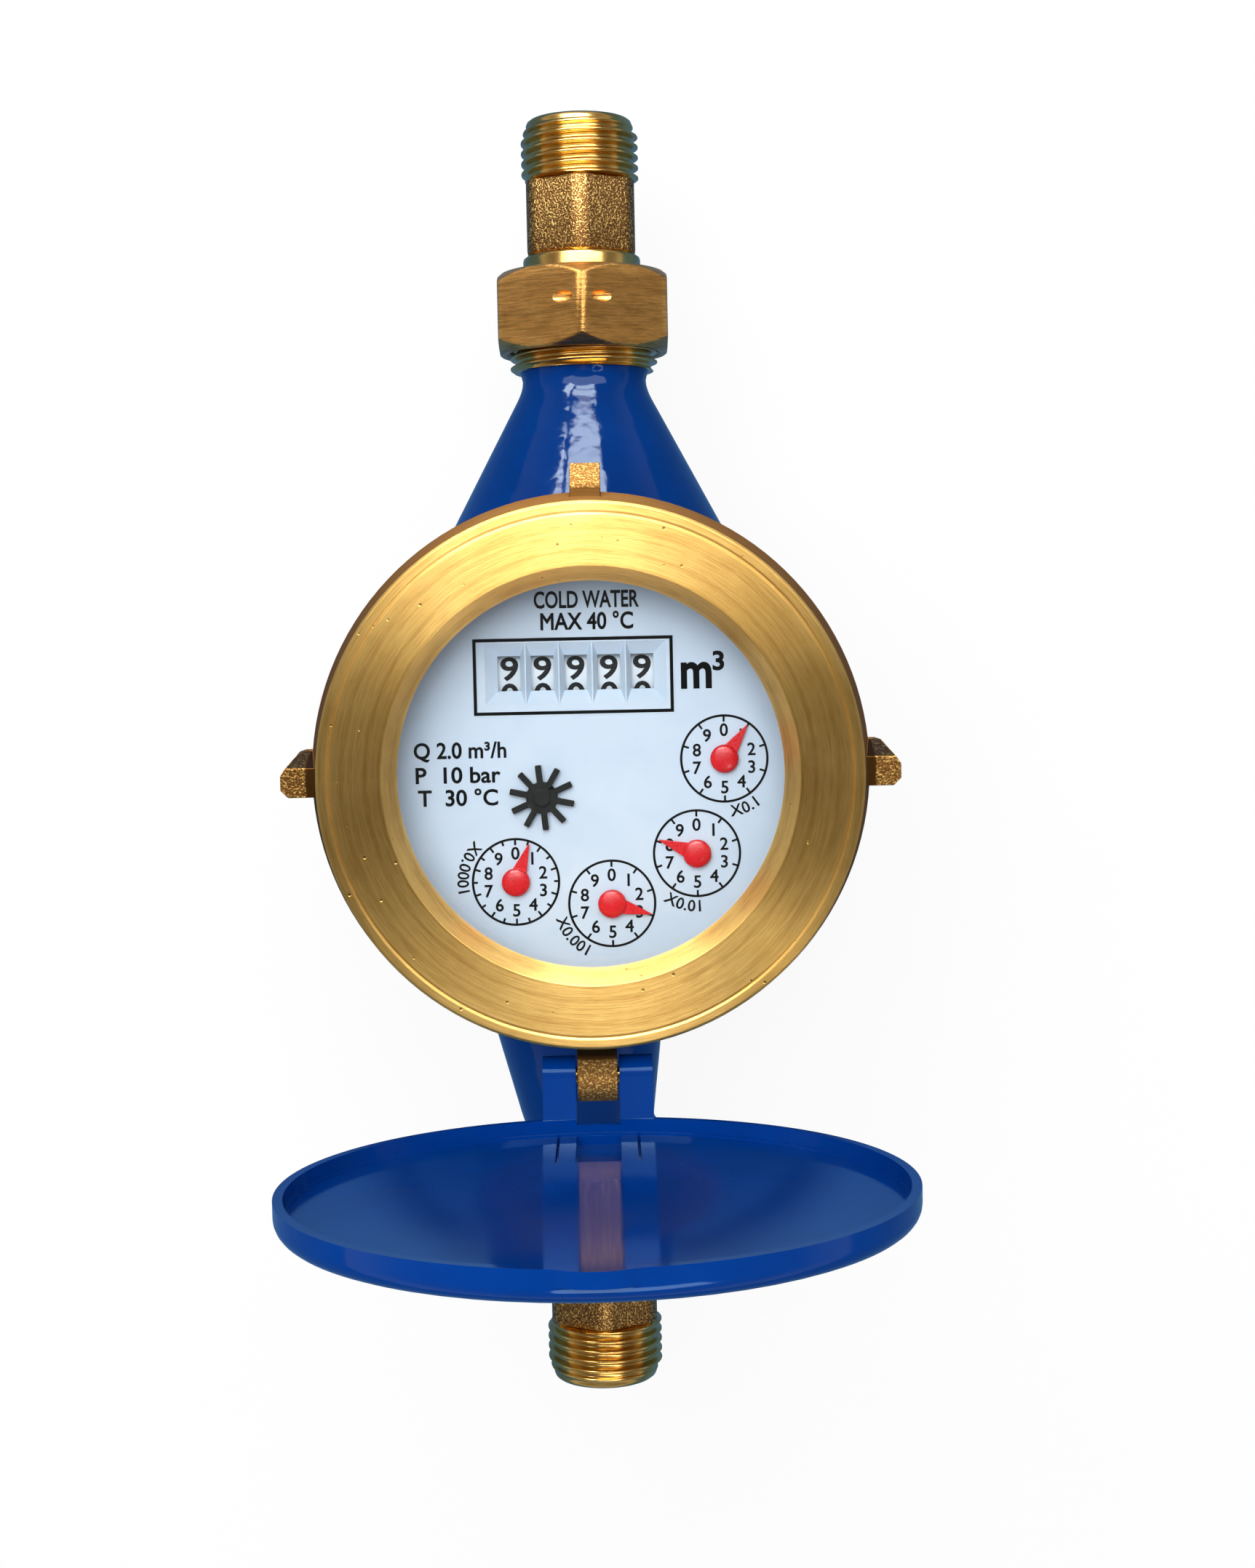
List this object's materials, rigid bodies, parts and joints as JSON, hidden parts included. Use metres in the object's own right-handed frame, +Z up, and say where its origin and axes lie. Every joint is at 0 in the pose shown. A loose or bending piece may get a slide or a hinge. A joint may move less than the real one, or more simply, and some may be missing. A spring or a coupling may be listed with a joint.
{
  "type": "water meter",
  "caption": "Multi-jet water meter: enamelled brass body with pipe unions, screwed brass ring, sight glass over a dial with pointers and a roller counter, and a hinged lid.",
  "frame": {"origin": "middle of the flat base under the bowl", "axes": "+Z up through the dial, +Y along the pipe towards the inlet, +X to the right of the dial"},
  "size_m": [0.0992, 0.228, 0.1807],
  "materials": {
    "body_enamel": "glossy royal blue enamel over cast brass, bare at the threads",
    "ring_brass": "turned brass face, as-cast lugs",
    "union_brass": "machined and as-cast brass",
    "pin_brass": "drawn brass wire",
    "lid_blue": "moulded royal blue plastic, satin rim",
    "glass": "clear toughened glass",
    "dial_white": "white printed dial",
    "mask_white": "white moulded plastic",
    "register_white": "white moulded plastic",
    "wheel_white": "white printed number wheels",
    "gear_white": "natural moulded gear plastic",
    "pointer_red": "bright red moulded plastic",
    "star_black": "black moulded plastic",
    "chamber_plastic": "ivory moulded plastic",
    "strainer_plastic": "pale moulded plastic",
    "steel": "drawn stainless wire",
    "rubber": "black rubber",
    "fibre": "pressed fibre"
  },
  "bodies": {
    "meter": {"body_casting": "body_enamel", "cover_ring": "ring_brass", "slip_washer": "fibre", "sight_glass": "glass", "glass_gasket": "rubber", "dial_plate": "dial_white", "counter_mask": "mask_white", "register_base": "register_white", "counter_shaft": "steel", "carry_shaft": "steel", "pivot_pin": "steel", "chamber_lower": "chamber_plastic", "chamber_cover": "chamber_plastic", "basket_strainer": "strainer_plastic", "chamber_seal": "rubber", "inlet_strainer": "strainer_plastic", "inlet_washer": "fibre", "outlet_washer": "fibre", "inlet_nut": "union_brass", "outlet_nut": "union_brass", "inlet_tailpiece": "union_brass", "outlet_tailpiece": "union_brass", "hinge_pin": "pin_brass"},
    "lid": {"lid": "lid_blue"},
    "impeller": {"impeller": "chamber_plastic", "impeller_pinion": "gear_white"},
    "star": {"star_wheel": "star_black", "star_arbor": "gear_white"},
    "relay_1": {"relay_arbor_1": "gear_white"},
    "pointer_1": {"pointer_arbor_1": "gear_white", "pointer_1": "pointer_red"},
    "relay_2": {"relay_arbor_2": "gear_white"},
    "pointer_2": {"pointer_arbor_2": "gear_white", "pointer_2": "pointer_red"},
    "relay_3": {"relay_arbor_3": "gear_white"},
    "pointer_3": {"pointer_arbor_3": "gear_white", "pointer_3": "pointer_red"},
    "relay_4": {"relay_arbor_4": "gear_white"},
    "pointer_4": {"pointer_arbor_4": "gear_white", "pointer_4": "pointer_red"},
    "wheel_1": {"number_wheel_1": "wheel_white"},
    "wheel_2": {"number_wheel_2": "wheel_white"},
    "wheel_3": {"number_wheel_3": "wheel_white"},
    "wheel_4": {"number_wheel_4": "wheel_white"},
    "wheel_5": {"number_wheel_5": "wheel_white"},
    "carry_1": {"carry_pinion_1": "wheel_white"},
    "carry_2": {"carry_pinion_2": "wheel_white"},
    "carry_3": {"carry_pinion_3": "wheel_white"},
    "carry_4": {"carry_pinion_4": "wheel_white"}
  },
  "joints": [
    {"name": "lid_hinge", "type": "hinge", "parent": "meter", "child": "lid", "pos_m": [0, -0.0486, 0.0858], "axis": [1, 0, 0], "range_deg": [-89.5, 0]},
    {"name": "impeller_spin", "type": "hinge", "parent": "meter", "child": "impeller", "pos_m": [0, 0, 0], "axis": [0, 0, 1], "continuous": true},
    {"name": "star_spin", "type": "hinge", "parent": "meter", "child": "star", "pos_m": [-0.00809, -0.00395, 0], "axis": [0, 0, 1], "continuous": true},
    {"name": "relay_4_spin", "type": "hinge", "parent": "meter", "child": "relay_4", "pos_m": [-0.0144, -0.00962, 0], "axis": [0, 0, 1], "continuous": true},
    {"name": "pointer_4_spin", "type": "hinge", "parent": "meter", "child": "pointer_4", "pos_m": [-0.01263, -0.01764, 0], "axis": [0, 0, 1], "continuous": true},
    {"name": "relay_3_spin", "type": "hinge", "parent": "meter", "child": "relay_3", "pos_m": [-0.00518, -0.02054, 0], "axis": [0, 0, 1], "continuous": true},
    {"name": "pointer_3_spin", "type": "hinge", "parent": "meter", "child": "pointer_3", "pos_m": [0.00295, -0.0215, 0], "axis": [0, 0, 1], "continuous": true},
    {"name": "relay_2_spin", "type": "hinge", "parent": "meter", "child": "relay_2", "pos_m": [0.01034, -0.01848, 0], "axis": [0, 0, 1], "continuous": true},
    {"name": "pointer_2_spin", "type": "hinge", "parent": "meter", "child": "pointer_2", "pos_m": [0.01691, -0.0136, 0], "axis": [0, 0, 1], "continuous": true},
    {"name": "relay_1_spin", "type": "hinge", "parent": "meter", "child": "relay_1", "pos_m": [0.02021, -0.00632, 0], "axis": [0, 0, 1], "continuous": true},
    {"name": "pointer_1_spin", "type": "hinge", "parent": "meter", "child": "pointer_1", "pos_m": [0.02163, 0.00174, 0], "axis": [0, 0, 1], "continuous": true},
    {"name": "wheel_5_spin", "type": "hinge", "parent": "meter", "child": "wheel_5", "pos_m": [0, 0.0156, 0.0688], "axis": [1, 0, 0], "continuous": true},
    {"name": "wheel_4_spin", "type": "hinge", "parent": "meter", "child": "wheel_4", "pos_m": [0, 0.0156, 0.0688], "axis": [1, 0, 0], "continuous": true},
    {"name": "carry_4_spin", "type": "hinge", "parent": "meter", "child": "carry_4", "pos_m": [0, 0.024, 0.0688], "axis": [1, 0, 0], "continuous": true},
    {"name": "wheel_3_spin", "type": "hinge", "parent": "meter", "child": "wheel_3", "pos_m": [0, 0.0156, 0.0688], "axis": [1, 0, 0], "continuous": true},
    {"name": "carry_3_spin", "type": "hinge", "parent": "meter", "child": "carry_3", "pos_m": [0, 0.024, 0.0688], "axis": [1, 0, 0], "continuous": true},
    {"name": "wheel_2_spin", "type": "hinge", "parent": "meter", "child": "wheel_2", "pos_m": [0, 0.0156, 0.0688], "axis": [1, 0, 0], "continuous": true},
    {"name": "carry_2_spin", "type": "hinge", "parent": "meter", "child": "carry_2", "pos_m": [0, 0.024, 0.0688], "axis": [1, 0, 0], "continuous": true},
    {"name": "wheel_1_spin", "type": "hinge", "parent": "meter", "child": "wheel_1", "pos_m": [0, 0.0156, 0.0688], "axis": [1, 0, 0], "continuous": true},
    {"name": "carry_1_spin", "type": "hinge", "parent": "meter", "child": "carry_1", "pos_m": [0, 0.024, 0.0688], "axis": [1, 0, 0], "continuous": true}
  ],
  "couplings": [
    {"joint": "star_spin", "follows": "impeller_spin", "ratio": -0.33333},
    {"joint": "relay_4_spin", "follows": "impeller_spin", "ratio": 0.11111},
    {"joint": "pointer_4_spin", "follows": "impeller_spin", "ratio": -0.033333},
    {"joint": "relay_3_spin", "follows": "impeller_spin", "ratio": 0.011111},
    {"joint": "pointer_3_spin", "follows": "impeller_spin", "ratio": -0.0033333},
    {"joint": "relay_2_spin", "follows": "impeller_spin", "ratio": 0.0011111},
    {"joint": "pointer_2_spin", "follows": "impeller_spin", "ratio": -0.00033333},
    {"joint": "relay_1_spin", "follows": "impeller_spin", "ratio": 0.00011111},
    {"joint": "pointer_1_spin", "follows": "impeller_spin", "ratio": -0.000033333},
    {"joint": "wheel_5_spin", "follows": "impeller_spin", "ratio": -0.0000033333},
    {"joint": "wheel_4_spin", "follows": "impeller_spin", "ratio": -0.00000033333},
    {"joint": "carry_4_spin", "follows": "impeller_spin", "ratio": 0.00000083333},
    {"joint": "wheel_3_spin", "follows": "impeller_spin", "ratio": -0.000000033333},
    {"joint": "carry_3_spin", "follows": "impeller_spin", "ratio": 0.000000083333},
    {"joint": "wheel_2_spin", "follows": "impeller_spin", "ratio": -0.0000000033333},
    {"joint": "carry_2_spin", "follows": "impeller_spin", "ratio": 0.0000000083333},
    {"joint": "wheel_1_spin", "follows": "impeller_spin", "ratio": -0.00000000033333},
    {"joint": "carry_1_spin", "follows": "impeller_spin", "ratio": 0.00000000083333}
  ]
}
